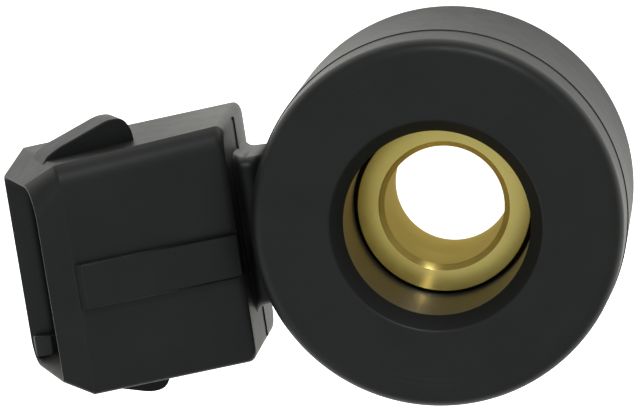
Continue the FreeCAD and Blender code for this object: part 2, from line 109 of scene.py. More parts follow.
class HoodSizes(PropertyGroup):
    """Sizes of the connector hood and of the seam on its back end"""
    tilt: angle("Tilt", "Lean of the hood above the ring's plane", 25)
    back: length("Back", "Bore axis to the upright back end", 14.0)
    height: length("Height", "Upper back edge above the contact face", 13.0)
    reach: length("Reach", "Upper back edge to the start of the mouth bevel", 11.7)
    half_width: length("Half width", "Middle of the hood to its side, at the back", 8.45)
    mouth_half_width: length("Mouth half width", "Middle to the side, at the bevel", 8.15)
    back_depth: length("Back depth", "Depth at the upper back edge", 9.4)
    mouth_depth: length("Mouth depth", "Depth at the mouth bevel", 10.35)
    back_round: length("Back round", "Upright edges of the back end, across", 0.7)
    back_round_along: length("Back round, along", "Upright edges, along the hood", 0.6)
    back_round_up: length("Back round, up", "Upper and lower edges of the back end", 0.1)
    bevel: length("Bevel", "Length of the bevel round the mouth", 1.95)
    bevel_shift: length("Bevel shift", "Start of the bevel off the hood's middle", -0.2)
    rim_half_width: length("Rim half width", "Middle of the rim to its side", 6.8)
    rim_shift: length("Rim shift", "Rim off the hood's middle", -0.32)
    rim_inset: length("Rim inset", "Step of the bevel above the rim", 0.35)
    rim_rise: length("Rim rise", "Step of the bevel below the rim", 1.2)
    rim_edge: length("Rim edge", "Flat edge round the opening", 0.14)
    rim_crown: length("Rim crown", "Upper +Y corner of the rim", 2.5)
    rim_far_round: length("Rim far round", "Lower -Y corner of the rim", 1.7)
    rim_round: length("Rim round", "Other corners of the rim, and the least round", 0.5)
    lead_in: length("Lead-in", "Length of the slope inside the rim", 1.3)
    wall: length("Wall", "Wall of the hood behind the lead-in", 0.8)
    cavity: length("Cavity", "Rim to the floor of the hood", 12.0)
    crown: length("Crown", "Upper +Y edge", 1.8)
    crown_start: angle("Crown start", "Angle at which the crown meets the side", 30)
    near_crown: length("Near crown", "Upper -Y edge", 0.4)
    near_start: angle("Near start", "Angle at which the near crown meets the side", 8)
    draft: length("Draft", "How far the +Y side leans in towards the upper side", 0.27)
    lower_round: length("Lower round", "Lower +Y edge", 0.3)
    near_lower_round: length("Near lower round", "Lower -Y edge", 0.8)
    seam_height: length("Seam height", "Ledge on the back end above the contact face", 7.4)
    seam_width: length("Seam width", "Height of the ledge", 0.35)
    seam_proud: length("Seam proud", "How far the ledge stands off the back end", 0.085)
    seam_half_length: length("Seam half length", "Middle of the hood to the ledge's end", 7.95)


class TrimSizes(PropertyGroup):
    """Sizes of the ramps, the pad, the polarising rib and the neck"""
    ramp_root: length("Ramp root", "Middle of the hood to a ramp's inner side", 7.0)
    ramp_upper: length("Ramp upper side", "Below the hood's upper side", 3.2)
    ramp_lower: length("Ramp lower side", "Below the hood's upper side", 6.4)
    ramp_round: length("Ramp round", "Upper edges of a ramp", 0.12)
    pad_right: length("Pad right", "Middle of the hood to the pad's +Y side", 0.9)
    pad_left: length("Pad left", "Middle of the hood to the pad's -Y side", 2.3)
    pad_sunk: length("Pad sunk", "How deep the pad is set into the hood", 0.5)
    pad_round: length("Pad round", "Upper edges of the pad", 0.18)
    rib_width: length("Rib width", "Polarising rib across the hood", 1.2)
    rib_height: length("Rib height", "Polarising rib off the lower wall", 0.9)
    rib_round: length("Rib round", "Edges of the polarising rib", 0.1)
    neck_half_width: length("Neck half width", "Middle of the neck to its side", 5.3)
    neck_upper: length("Neck upper side", "Above the contact face", 9.8)
    neck_lower: length("Neck lower side", "Above the contact face", 3.6)
    neck_round: length("Neck round", "Long edges of the neck", 0.8)
    neck_seat: length("Neck seat", "How deep the neck reaches into the ring", 1.4)


class TerminalSizes(PropertyGroup):
    """Sizes of the two stamped terminals"""
    spacing: length("Spacing", "Distance between the middles of the blades", 5.0)
    width: length("Width", "Width of the strip", 2.3)
    thickness: length("Thickness", "Thickness of the strip", 0.64)
    tip: length("Tip", "Upper back edge of the hood to a blade's tip", 7.8)
    taper: length("Taper", "Length over which the tip gets thin", 0.9)
    knee: length("Knee", "How far behind that edge a blade bends down", 0.9)
    leg: length("Leg", "Bore axis to the upright leg", 11.7)
    leg_top: length("Leg top", "Upper end of the leg above the contact face", 6.41)
    foot: length("Foot", "Bore axis to the end of the foot", 10.6)
    ground_contact: length("Ground contact", "Face that the ground pin's foot is on", 2.6)
    signal_contact: length("Signal contact", "Face that the signal pin's foot is on", 4.9)


class SensorColours(PropertyGroup):
    """Colours of the materials"""
    moulding: colour("Moulding", "Black glass-filled nylon", (0.0092, 0.0096, 0.0086))
    brass: colour("Brass", "Freshly turned brass", (1.0, 0.78, 0.26))
    tin: colour("Tin", "Tin-plated terminal strip", (0.62, 0.61, 0.58))
    floor: colour("Floor", "Studio floor", (0.92, 0.92, 0.92))


# Small lengths that only finish an edge or hide a joint.
CRISP = 0.01 * MM
SEAT_GAP = 0.02 * MM
SEAT_ROUND = 0.05 * MM
FUNNEL_LIP = 0.04 * MM
LEDGE_ROUND = 0.02 * MM
PARTING_ROUND = 0.03 * MM
SLEEVE_EDGE = 0.04 * MM
SUNK = 0.3 * MM
CREASE = 0.08 * MM
SEAM_ROUND = 0.02 * MM
# Angle at which the rim's upper corners meet its sides.
RIM_START = math.radians(3)

# Latch ramp: (place along the hood, outer side from the hood's middle) in millimetres.
RAMP_PROFILE = (
    (12.0, 7.60), (11.6, 8.04), (11.2, 8.26), (10.6, 8.54), (9.6, 8.87), (8.2, 9.34),
    (7.4, 9.61), (7.0, 9.70), (6.7, 9.72), (6.4, 9.71), (6.15, 9.66), (5.95, 9.56),
    (5.75, 9.36), (5.6, 9.10), (5.48, 8.8), (5.42, 8.4), (5.4, 8.0),
)
# Raised pad: (place along the hood, height above it) in millimetres.
PAD_PROFILE = ((0.0, 0.6), (11.3, 0.6), (11.38, 0.54), (11.66, 0.05), (11.7, 0.0))
# Polarising rib: (behind the rim, lost width, lost height) in millimetres.
RIB_PROFILE = ((0.06, 0.08, 0.7), (0.12, 0.01, 0.6), (0.95, 0.0, 0.05), (1.1, 0.0, 0.0),
               (12.2, 0.0, 0.0))
# Neck: (away from the bore axis, how much it grows on every side) in millimetres.
NECK_PROFILE = ((13.3, 0.0), (13.6, 0.06), (13.85, 0.22), (14.02, 0.5), (14.4, 0.5))
# Faint line where the upper side's bevel starts: share of the bevel, drop, and how far below
# the upper side the drop reaches.
WITNESS_SHARE = 0.07
WITNESS_DROP = 0.05 * MM
WITNESS_REACH = 0.6 * MM


def rounded_outline(corners, radii, steps):
    """Closed outline in which every corner is an arc.

    For a corner with unit directions a and b to its neighbours, the arc's centre lies along
    a + b at radius / sin(half angle), and its points turn evenly from the foot of the centre
    on one side to the foot on the other."""
    corners = np.asarray(corners, float)
    radii = np.broadcast_to(radii, len(corners))[:, None]
    to_last = np.roll(corners, 1, 0) - corners
    to_next = np.roll(corners, -1, 0) - corners
    to_last /= np.linalg.norm(to_last, axis=1, keepdims=True)
    to_next /= np.linalg.norm(to_next, axis=1, keepdims=True)
    half = np.arccos(np.clip((to_last * to_next).sum(1, keepdims=True), -1, 1)) / 2
    middle = to_last + to_next
    middle /= np.linalg.norm(middle, axis=1, keepdims=True)
    centres = corners + middle * radii / np.sin(half)
    start = to_last * radii / np.tan(half) + corners - centres
    end = to_next * radii / np.tan(half) + corners - centres
    sweep = (np.pi - 2 * half)[:, None]
    share = np.linspace(0, 1, steps)[None, :, None]
    turned = (np.sin((1 - share) * sweep) * start[:, None]
              + np.sin(share * sweep) * end[:, None])
    return (centres[:, None] + turned / np.sin(sweep)).reshape(-1, corners.shape[1])


def frame_ring(right, left, upper, lower, radii, steps):
    """Rounded rectangle of (across, up) points, anticlockwise from its upper right corner."""
    corners = [(right, upper), (left, upper), (left, lower), (right, lower)]
    return rounded_outline(corners, radii, steps)


def station(place, ring):
    """Ring of (across, up) points set at a place along the hood, as (along, across, up)."""
    return np.column_stack([np.full(len(ring), place), ring])


def turned_points(outline, turn):
    """Grid in which each outline point (radius, height) goes round the bore axis by the angles."""
    radius, height = outline[:, 0, None], outline[:, 1, None]
    return np.stack([radius * np.cos(turn), radius * np.sin(turn), height + 0 * turn], -1)


def grid_faces(rows, columns, wrap_rows=False):
    """Quads of a grid of points whose columns close on themselves."""
    upper = np.arange(rows if wrap_rows else rows - 1)[:, None]
    left = np.arange(columns)[None, :]
    below, right = (upper + 1) % rows, (left + 1) % columns
    quads = [upper * columns + left, upper * columns + right,
             below * columns + right, below * columns + left]
    return np.stack([np.broadcast_to(q, (len(upper), columns)) for q in quads], -1).reshape(-1, 4)


def add_piece(name, points, faces, material, replaced, ends=(), uv=None):
    """Mesh object at the origin from whole arrays; ends are flat rings of points to be capped."""
    mesh = bpy.data.meshes.new(name)
    polygons = [list(face) for face in faces] + [list(end) for end in ends]
    mesh.from_pydata(points.reshape(-1, 3), [], polygons)
    mesh.validate()
    mesh.polygons.foreach_set("use_smooth", np.ones(len(mesh.polygons), bool))
    if uv is not None:
        layer = mesh.uv_layers.new(name="turned")
        corner = np.empty(len(mesh.loops), int)
        mesh.loops.foreach_get("vertex_index", corner)
        layer.data.foreach_set("uv", uv.reshape(-1, 2)[corner].ravel())
    piece = bpy.data.objects.new(name, mesh)
    bpy.context.scene.collection.objects.link(piece)
    mesh.materials.append(material)
    shading = piece.modifiers.new("flat faces stay flat", "WEIGHTED_NORMAL")
    shading.keep_sharp = True
    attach(piece, "root")
    for node in replaced:
        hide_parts(node)


def turned_piece(name, outline, material, replaced, around=288):
    """Surface of revolution of an outline that runs anticlockwise, radius right and height up.

    Its UV map runs up and down once round the axis, and once along the outline."""
    turn = np.linspace(0, 2 * np.pi, around, endpoint=False)
    along = np.linspace(0, 1, len(outline))[:, None] + 0 * turn
    uv = np.stack([np.abs(turn / np.pi - 1) + 0 * along, along], -1)
    faces = grid_faces(len(outline), around, wrap_rows=True)
    add_piece(name, turned_points(outline, turn), faces, material, [replaced], uv=uv)


def loft_piece(name, rings, material, replaced="housing"):
    """Surface through a stack of closed rings of points, capped flat at both ends."""
    rows, columns = rings.shape[:2]
    first = np.arange(columns)[::-1]
    last = np.arange(columns) + (rows - 1) * columns
    add_piece(name, rings, grid_faces(rows, columns), material, [replaced], (first, last))


def hood_point(along, across, up):
    """Point of the hood, given along it towards its mouth, across it and up from its upper side.

    The hood's own axes are the part's, turned by the tilt about +Y and moved to the upper
    back edge."""
    sizes = bpy.context.scene.knock_hood
    sine, cosine = math.sin(sizes.tilt), math.cos(sizes.tilt)
    along, across, up = np.broadcast_arrays(along, across, up)
    return np.stack([-sizes.back - along * cosine + up * sine, across,
                     sizes.height + along * sine + up * cosine], -1)


def hood_piece(name, rings, material):
    """Loft through rings that are given in the hood's own axes."""
    loft_piece(name, hood_point(rings[..., 0], rings[..., 1], rings[..., 2]), material)


def shade(base, by):
    """Colour made darker or lighter by a factor, up to full."""
    return tuple(min(1.0, part * by) for part in base)


class Nodes:
    """Helper that wires one material's node tree on Object coordinates."""

    def __init__(self, name):
        self.material = bpy.data.materials.new(name)
        self.material.use_nodes = True
        self.tree = self.material.node_tree
        self.shader = self.tree.nodes["Principled BSDF"]
        self.place = self.add("TexCoord").outputs["Object"]

    def add(self, kind):
        return self.tree.nodes.new("ShaderNode" + kind)

    def feed(self, socket, value):
        """Link a value to a socket, or set the socket where the value is a constant."""
        if isinstance(value, NodeSocket):
            self.tree.links.new(value, socket)
        else:
            socket.default_value = value

    def put(self, name, value):
        """Feed one of the shader's own sockets."""
        self.feed(self.shader.inputs[name], value)

    def axes(self):
        split = self.add("SeparateXYZ")
        self.feed(split.inputs["Vector"], self.place)
        return split.outputs

    def math(self, operation, *values):
        node = self.add("Math")
        node.operation = operation
        for socket, value in zip(node.inputs, values):
            self.feed(socket, value)
        return node.outputs[0]

    def radius(self, centre=(0.0, 0.0)):
        """Distance from the upright line through a centre (x, y)."""
        axes = self.axes()
        offsets = [self.math("SUBTRACT", axes[axis], at) for axis, at in zip("XY", centre)]
        squares = [self.math("MULTIPLY", value, value) for value in offsets]
        return self.math("SQRT", self.math("ADD", *squares))

    def noise(self, scale, detail=3.0, roughness=0.5, stretch=None, place=None):
        """Noise of a scale in waves per metre, read in a stretched space where one is given."""
        node = self.add("TexNoise")
        node.inputs["Scale"].default_value = scale
        node.inputs["Detail"].default_value = detail
        node.inputs["Roughness"].default_value = roughness
        source = place or self.place
        if stretch:
            mapping = self.add("Mapping")
            mapping.inputs["Scale"].default_value = stretch
            self.feed(mapping.inputs["Vector"], self.place)
            source = mapping.outputs["Vector"]
        self.feed(node.inputs["Vector"], source)
        return node.outputs["Fac"]

    def ramp(self, source, stops):
        """Colour ramp through stops of (position, colour)."""
        node = self.add("ValToRGB")
        elements = node.color_ramp.elements
        while len(elements) < len(stops):
            elements.new(1.0)
        for element, (position, tone) in zip(elements, stops):
            element.position = position
            element.color = (*tone, 1)
        self.feed(node.inputs["Fac"], source)
        return node.outputs["Color"]

    def level(self, source, stops):
        """Ramp of greys through stops of (position, level)."""
        return self.ramp(source, [(position, (grey, grey, grey)) for position, grey in stops])

    def tones(self, source, base, dark, light, low=0.3, high=0.7):
        """Base colour, darkened where the source is low and lightened where it is high."""
        return self.ramp(source, [(low, shade(base, dark)), (high, shade(base, light))])

    def mix(self, first, second, share):
        """Colour that goes from the first to the second by the share."""
        node = self.add("Mix")
        node.data_type = "RGBA"
        self.feed(node.inputs["Factor"], share)
        for letter, value in (("A", first), ("B", second)):
            self.feed(node.inputs[letter], (*value, 1) if isinstance(value, tuple) else value)
        return node.outputs["Result"]

    def roughen(self, source, middle, swing):
        """Roughness that goes up and down with the source, which runs from 0 to 1."""
        node = self.add("MapRange")
        self.feed(node.inputs["Value"], source)
        node.inputs["To Min"].default_value = middle - swing
        node.inputs["To Max"].default_value = middle + swing
        self.put("Roughness", node.outputs["Result"])

    def bump(self, height, strength, distance, below=None):
        node = self.add("Bump")
        node.inputs["Strength"].default_value = strength
        node.inputs["Distance"].default_value = distance
        self.feed(node.inputs["Height"], height)
        if below is not None:
            self.feed(node.inputs["Normal"], below)
        return node.outputs["Normal"]

    def scratches(self, within):
        """Broken lines round the bore axis inside a radius, as a share from 0 to 1."""
        away = self.radius()
        join = self.add("CombineXYZ")
        self.feed(join.inputs["X"], away)
        rings = self.noise(5200, detail=2, place=join.outputs["Vector"])
        line = self.level(rings, ((0.6, 0), (0.68, 1)))
        patch = self.level(self.noise(130), ((0.53, 0), (0.62, 1)))
        broken = self.math("MULTIPLY", line, patch)
        return self.math("MULTIPLY", broken, self.math("LESS_THAN", away, within))


SCRATCHED_RADIUS = 12.0 * MM
SCRATCH_TONE = 2.4
# Painted shade in the countersunk funnel: the moulding inside this radius is darkened by this
# factor.
FUNNEL_SHADE_RADIUS = 7.2 * MM
FUNNEL_SHADE_TONE = 0.8
NYLON_ROUGHNESS = 0.42
NYLON_IOR = 1.52


def moulding_material(name, darker, specular):
    """Satin black glass-filled nylon: moulded grain, faint flow mottling, wear and scratches, and
    painted shade in the countersunk funnel.
    """
    base = shade(bpy.context.scene.knock_colours.moulding, darker)
    nodes = Nodes(name)
    mottle = nodes.noise(220, detail=4, roughness=0.6)
    plain = nodes.tones(mottle, base, 0.8, 1.35)
    scratched = nodes.mix(plain, shade(base, SCRATCH_TONE), nodes.scratches(SCRATCHED_RADIUS))
    # Painted shade: darker moulding inside the funnel.
    funnel = nodes.math("LESS_THAN", nodes.radius(), FUNNEL_SHADE_RADIUS)
    nodes.put("Base Color", nodes.mix(scratched, shade(base, FUNNEL_SHADE_TONE), funnel))
    wear = nodes.noise(900, detail=5, roughness=0.7, stretch=(1.0, 0.22, 1.0))
    nodes.roughen(wear, NYLON_ROUGHNESS, 0.08)
    grain = nodes.bump(nodes.noise(9000, detail=2), strength=0.10, distance=0.02 * MM)
    nodes.put("Normal", nodes.bump(mottle, strength=0.12, distance=0.1 * MM, below=grain))
    nodes.put("IOR", NYLON_IOR)
    nodes.put("Specular IOR Level", specular)
    return nodes.material


# Painted shade on the mass: its faces are mixed to a dark tone, by a share that falls towards +Y.
# Painted shade on the -X side: all faces but the bolt bore's are mixed to a darker warm tone, by a
# share that falls towards +X. The falls are per metre.
BORE_WALL_SHADE = (0.13, 0.14, 0.16)
BORE_SHADE_FALL, BORE_SHADE_MIDDLE = -24.0, 0.74
SIDE_SHADE_TONE = (0.62, 0.42, 0.08)
SIDE_SHADE_FALL, SIDE_SHADE_MIDDLE = -60.0, 0.1
# Painted shade deep in the gap round the sleeve's turned-down end: its colour, how far inside the
# sleeve's outside it starts, and how far below the sleeve's end it starts.
GAP_SHADE = (0.025, 0.02, 0.014)
GAP_SHADE_INSET = 0.45 * MM
GAP_SHADE_DEPTH = 0.9 * MM
CHAMFER_MARGIN = 0.3 * MM
EDGE_TINT = (1.0, 0.86, 0.42, 1)
GROOVE_WAVES = 42000.0
# A quarter turn lays the long highlight across the turning grooves.
ACROSS_GROOVES = 0.25


def brass_material(name, roughness, drawn_out, paint_bore_shade):
    """Turned brass: grooves round the bore axis and tarnish in patches, with painted shade on the
    -X side, deep in the gap round the sleeve's end, and towards -Y on the mass.
    """
    base = bpy.context.scene.knock_colours.brass
    metal = bpy.context.scene.knock_brass
    nodes = Nodes(name)
    axes = nodes.axes()
    away, height = nodes.radius(), axes["Z"]
    bright = nodes.tones(nodes.noise(350, detail=4, roughness=0.6), base, 0.9, 1.06, 0.25, 0.75)
    outer = nodes.math("GREATER_THAN", away, metal.bore_radius + CHAMFER_MARGIN)
    # Painted shade on the -X side of all brass but the bolt bore.
    side_shade = nodes.math("MULTIPLY_ADD", axes["X"], SIDE_SHADE_FALL, SIDE_SHADE_MIDDLE)
    brass_tone = nodes.mix(bright, SIDE_SHADE_TONE, nodes.math("MULTIPLY", side_shade, outer))
    if paint_bore_shade:
        # Painted shade on the mass, darker towards -Y.
        bore_wall_shade = nodes.math("MULTIPLY_ADD", axes["Y"], BORE_SHADE_FALL, BORE_SHADE_MIDDLE)
        brass_tone = nodes.mix(brass_tone, BORE_WALL_SHADE, bore_wall_shade)
    # Painted shade deep in the gap between the sleeve's turned-down end and the mass.
    outside = nodes.math("GREATER_THAN", away, metal.sleeve_radius - GAP_SHADE_INSET)
    below = nodes.math("LESS_THAN", height, metal.sleeve_height - GAP_SHADE_DEPTH)
    nodes.put("Base Color", nodes.mix(brass_tone, GAP_SHADE, nodes.math("MULTIPLY", outside, below)))
    nodes.roughen(nodes.noise(1400), roughness, 0.05)
    groove = nodes.math("MULTIPLY", nodes.math("ADD", away, height), GROOVE_WAVES)
    wave = nodes.math("SINE", groove)
    nodes.put("Normal", nodes.bump(wave, strength=0.06, distance=0.01 * MM))
    nodes.put("Metallic", 0.88)
    nodes.put("Specular Tint", EDGE_TINT)
    nodes.put("Anisotropic", drawn_out)
    nodes.put("Anisotropic Rotation", ACROSS_GROOVES)
    tangent = nodes.add("Tangent")
    tangent.direction_type = "UV_MAP"
    tangent.uv_map = "turned"
    nodes.put("Tangent", tangent.outputs["Tangent"])
    return nodes.material


def strip_material(name, base, roughness):
    """Rolled metal strip with faint lengthwise streaks."""
    nodes = Nodes(name)
    streak = nodes.noise(2500, roughness=0.6, stretch=(0.08, 1.0, 0.08))
    nodes.put("Base Color", nodes.tones(streak, base, 0.85, 1.1))
    nodes.roughen(streak, roughness, 0.07)
    nodes.put("Normal", nodes.bump(streak, strength=0.1, distance=0.01 * MM))
    nodes.put("Metallic", 1.0)
    return nodes.material


def filler_material(name, base, roughness):
    """Plain stock with a faint grain, for the pieces that the moulding hides."""
    nodes = Nodes(name)
    grain = nodes.noise(1800, detail=4, roughness=0.6)
    nodes.put("Base Color", nodes.tones(grain, base, 0.9, 1.08))
    nodes.roughen(grain, roughness, 0.06)
    nodes.put("Normal", nodes.bump(grain, strength=0.1, distance=0.01 * MM))
    return nodes.material


def made(maker, name, *values):
    """The material of that name, made once."""
    return bpy.data.materials.get(name) or maker(name, *values)


def nylon():
    return made(moulding_material, "nylon_finish", 1.0, 0.41)


# Moulding made darker and less glossy, for the latch ramps.
def darker_nylon():
    return made(moulding_material, "ramp_finish", 0.35, 0.3)


# Brass of the sleeve, with painted shade on the -X side and deep in the gap round its end.
def brass():
    return made(brass_material, "brass_finish", 0.25, 0.9, False)


# Brass of the mass, with painted shade that is darker towards -Y.
def bored_brass():
    return made(brass_material, "bored_brass_finish", 0.31, 1.0, True)


def tin():
    return made(strip_material, "tin_finish", bpy.context.scene.knock_colours.tin, 0.3)


class MESH_OT_knock_ring(Operator):
    """Add the moulded ring with its parting line and countersunk mouth"""
    bl_idname = "mesh.knock_ring"
    bl_label = "Moulded ring"

    def execute(self, context):
        ring = context.scene.knock_ring
        metal = context.scene.knock_brass
        wall = metal.mass_radius + SEAT_GAP
        flange = metal.flange_radius + SEAT_GAP
        ledge = ring.parting_radius - ring.parting_step
        corners = np.array([
            (metal.sleeve_radius, metal.mass_top + FUNNEL_LIP, CRISP),
            (ring.funnel_radius, ring.upper_height, ring.funnel_round),
            (ring.upper_radius, ring.upper_height, ring.upper_round),
            (ledge, ring.parting_height, LEDGE_ROUND),
            (ring.parting_radius, ring.parting_height, PARTING_ROUND),
            (ring.foot_radius, ring.foot_height, ring.foot_round),
            (flange, ring.foot_height, SEAT_ROUND),
            (flange, metal.flange_height, SEAT_ROUND),
            (wall, metal.flange_height, SEAT_ROUND),
            (wall, metal.mass_top, SEAT_ROUND),
            (metal.sleeve_radius, metal.mass_top, CRISP),
        ])
        outline = rounded_outline(corners[:, :2], corners[:, 2], 7)[::-1]
        turned_piece("moulded_ring", outline, nylon(), "housing")
        return {"FINISHED"}


class MESH_OT_knock_sleeve(Operator):
    """Add the turned brass sleeve with its contact flange"""
    bl_idname = "mesh.knock_sleeve"
    bl_label = "Mounting sleeve"

    def execute(self, context):
        metal = context.scene.knock_brass
        bore, tube, top = metal.bore_radius, metal.sleeve_radius, metal.sleeve_height
        step, step_foot = tube - metal.step_inset, top - metal.step_depth
        corners = [
            (bore, 0.0),
            (metal.flange_radius - metal.flange_chamfer, 0.0),
            (metal.flange_radius, metal.flange_chamfer),
            (metal.flange_radius, metal.flange_height),
            (tube, metal.flange_height),
            (tube, step_foot),
            (step, step_foot),
            (step, top),
            (bore + metal.bore_chamfer, top),
            (bore, top - metal.bore_chamfer),
        ]
        outline = rounded_outline(corners, SLEEVE_EDGE, 4)
        turned_piece("mounting_sleeve_turned", outline, brass(),
                     "mounting_sleeve")
        return {"FINISHED"}


class MESH_OT_knock_mass(Operator):
    """Add the turned brass mass whose bore shows above the sleeve"""
    bl_idname = "mesh.knock_mass"
    bl_label = "Seismic mass"

    def execute(self, context):
        metal = context.scene.knock_brass
        corners = [
            (metal.sleeve_radius, metal.mass_bottom),
            (metal.mass_radius, metal.mass_bottom),
            (metal.mass_radius, metal.mass_top),
            (metal.sleeve_radius, metal.mass_top),
        ]
        outline = rounded_outline(corners, SEAT_ROUND, 4)
        turned_piece("seismic_mass_turned", outline, bored_brass(),
                     "seismic_mass")
        return {"FINISHED"}


def crowned_corner(side, across, upper, radius, start, steps=(8, 4)):
    """Upper corner of the hood's section, from the upper side down to the side wall.

    An arc of the large radius turns from straight up to the start angle, and an arc of the
    crease's radius, tangent to it, turns from there to level."""
    beside = (radius - CREASE) * math.cos(start)
    above = (radius - CREASE) * math.sin(start)
    wide = np.linspace(math.pi / 2, start, steps[0])
    tight = np.linspace(start, 0, steps[1] + 1)[1:]
    reach = np.concatenate([radius * np.cos(wide), beside + CREASE * np.cos(tight)])
    rise = np.concatenate([radius * np.sin(wide), above + CREASE * np.sin(tight)])
    middle = across - side * (CREASE + beside)
    return np.column_stack([middle + side * reach, upper - radius + rise])


def round_corner(side, across, lower, radius, steps=9):
    """Lower corner of the hood's section, an arc from the side wall to the lower side."""
    turn = np.linspace(0, math.pi / 2, steps)
    return np.column_stack([across - side * radius * (1 - np.cos(turn)),
                            lower + radius * (1 - np.sin(turn))])


def hood_section(along, half_width, shift, upper, lower, crowns, starts, rounds, draft):
    """Closed ring of (along, across, up) round the hood, anticlockwise from the upper +Y corner.

    Crowns, starts and rounds give the +Y side's value and then the -Y side's. The +Y side
    leans in by the draft, in proportion to the height above the lower side."""
    right, left = shift + half_width, shift - half_width
    ring = np.concatenate([
        crowned_corner(1, right, upper, crowns[0], starts[0])[::-1],
        crowned_corner(-1, left, upper, crowns[1], starts[1]),
        round_corner(-1, left, lower, rounds[1]),
        round_corner(1, right, lower, rounds[0])[::-1],
    ])
    share = (ring[:, 1] - lower) / (upper - lower)
    ring[:, 0] -= draft * np.where(ring[:, 0] > shift, share, 0)
    return station(along, ring)


def round_over(before, here, after, radius, steps=5):
    """Rings that turn a fold between two bands into a small arc.

    Each point leaves its fold by the same distance towards the rings before and after it,
    and a quadratic curve joins the two."""
    back, ahead = before - here, after - here
    back_length = np.linalg.norm(back, axis=1, keepdims=True)
    ahead_length = np.linalg.norm(ahead, axis=1, keepdims=True)
    back = here + back * np.minimum(radius / back_length, 0.45)
    ahead = here + ahead * np.minimum(radius / ahead_length, 0.45)
    share = np.linspace(0, 1, steps)[:, None, None]
    return (1 - share) ** 2 * back + 2 * share * (1 - share) * here + share ** 2 * ahead


class MESH_OT_knock_hood(Operator):
    """Add the connector hood: tapered body, bevelled mouth, thin rim and deep cavity"""
    bl_idname = "mesh.knock_hood"
    bl_label = "Connector hood"

    def execute(self, context):
        size = context.scene.knock_hood
        slope = (size.mouth_depth - size.back_depth) / size.reach
        lean = math.tan(size.tilt)
        end_depth = size.back_depth / (1 + slope * lean)
        crowns, starts = (size.crown, size.near_crown), (size.crown_start, size.near_start)
        rounds = (size.lower_round, size.near_lower_round)

        def back_ring(turn):
            """Ring of the upright back end's round, which is drawn in most where turn is 0."""
            gone = 1 - math.sin(turn)
            up = size.back_round_up * gone
            ring = hood_section(0.0, size.half_width - size.back_round * gone, 0.0, -up,
                                up - end_depth, crowns, starts, rounds, size.draft)
            ring[:, 0] = ring[:, 2] * lean + size.back_round_along * (1 - math.cos(turn))
            return ring

        def rim_ring(along, drawn_in):
            """Ring of the rim or behind it, drawn in by the thickness of the wall there."""
            least = size.rim_round
            crown = max(size.rim_crown - drawn_in, least)
            far = max(size.rim_far_round - drawn_in, least)
            return hood_section(along, size.rim_half_width - drawn_in, size.rim_shift,
                                -size.rim_inset - drawn_in,
                                size.rim_rise - size.mouth_depth + drawn_in, (crown, least),
                                (RIM_START, RIM_START), (least, far), 0.0)

        back = [back_ring(turn) for turn in np.linspace(0, np.pi / 2, 6)]
        brink = hood_section(size.reach, size.mouth_half_width, size.bevel_shift, 0.0,
                             -size.mouth_depth, crowns, starts, rounds, size.draft)
        rim_at = size.reach + size.bevel
        rim = rim_ring(rim_at, 0.0)
        witness = brink + (rim - brink) * WITNESS_SHARE
        witness[:, 2] -= np.where(witness[:, 2] > -WITNESS_REACH, WITNESS_DROP, 0)
        inner = rim_ring(rim_at - size.lead_in, size.wall)
        floor = inner.copy()
        floor[:, 0] = rim_at - size.cavity
        floor_edge = floor * 0.95 + floor.mean(0) * 0.05

        path = [
            (back[-1], 0.0),
            (brink, 0.06 * MM),
            (witness, 0.04 * MM),
            (rim, 0.05 * MM),
            (rim_ring(rim_at, size.rim_edge), 0.04 * MM),
            (inner, 0.3 * MM),
            (floor, 0.25 * MM),
            (floor_edge, 0.0),
        ]
        rings = back
        for (before, _), (here, softness), (after, _) in zip(path, path[1:], path[2:]):
            rings += list(round_over(before, here, after, softness))
        rings.append(floor_edge)
        hood_piece("connector_hood", np.array(rings)[:, ::-1], nylon())
        return {"FINISHED"}


class MESH_OT_knock_seam(Operator):
    """Add the ledge that the mould's joint leaves across the hood's back end"""
    bl_idname = "mesh.knock_seam"
    bl_label = "Back seam"

    def execute(self, context):
        size = context.scene.knock_hood
        outline = frame_ring(size.seam_proud, -SUNK, 0.0, -size.seam_width, SEAM_ROUND, 4)
        ends = [np.column_stack([outline[:, 0] - size.back, np.full(len(outline), end),
                                 outline[:, 1] + size.seam_height])
                for end in (-size.seam_half_length, size.seam_half_length)]
        loft_piece("back_seam", np.array(ends)[:, ::-1], nylon())
        return {"FINISHED"}


class MESH_OT_knock_ramps(Operator):
    """Add the latch ramps on both sides of the hood"""
    bl_idname = "mesh.knock_ramps"
    bl_label = "Latch ramps"

    def execute(self, context):
        size = context.scene.knock_trim
        radii = [size.ramp_round, size.ramp_round, CRISP, CRISP]
        rings = np.array([
            station(along * MM, frame_ring(reach * MM, size.ramp_root, -size.ramp_upper,
                                           -size.ramp_lower, radii, 6))
            for along, reach in RAMP_PROFILE
        ])
        hood_piece("latch_ramp_upper", rings, darker_nylon())
        hood_piece("latch_ramp_lower", (rings * (1, -1, 1))[:, ::-1], darker_nylon())
        return {"FINISHED"}


class MESH_OT_knock_pad(Operator):
    """Add the raised pad on the upper side of the hood"""
    bl_idname = "mesh.knock_pad"
    bl_label = "Raised pad"

    def execute(self, context):
        size = context.scene.knock_trim
        rings = []
        for along, rise in PAD_PROFILE:
            # Where the pad runs out, its edges get smaller with its height.
            edge = min(size.pad_round, (0.4 * rise + 0.005) * MM)
            ring = frame_ring(size.pad_right, -size.pad_left, (rise + 0.01) * MM,
                              -size.pad_sunk, [edge, edge, CRISP, CRISP], 6)
            rings.append(station(along * MM, ring))
        rings = np.array(rings)
        rings[0, :, 0] = rings[0, :, 2] * math.tan(context.scene.knock_hood.tilt)
        hood_piece("raised_pad", rings[:, ::-1], nylon())
        return {"FINISHED"}


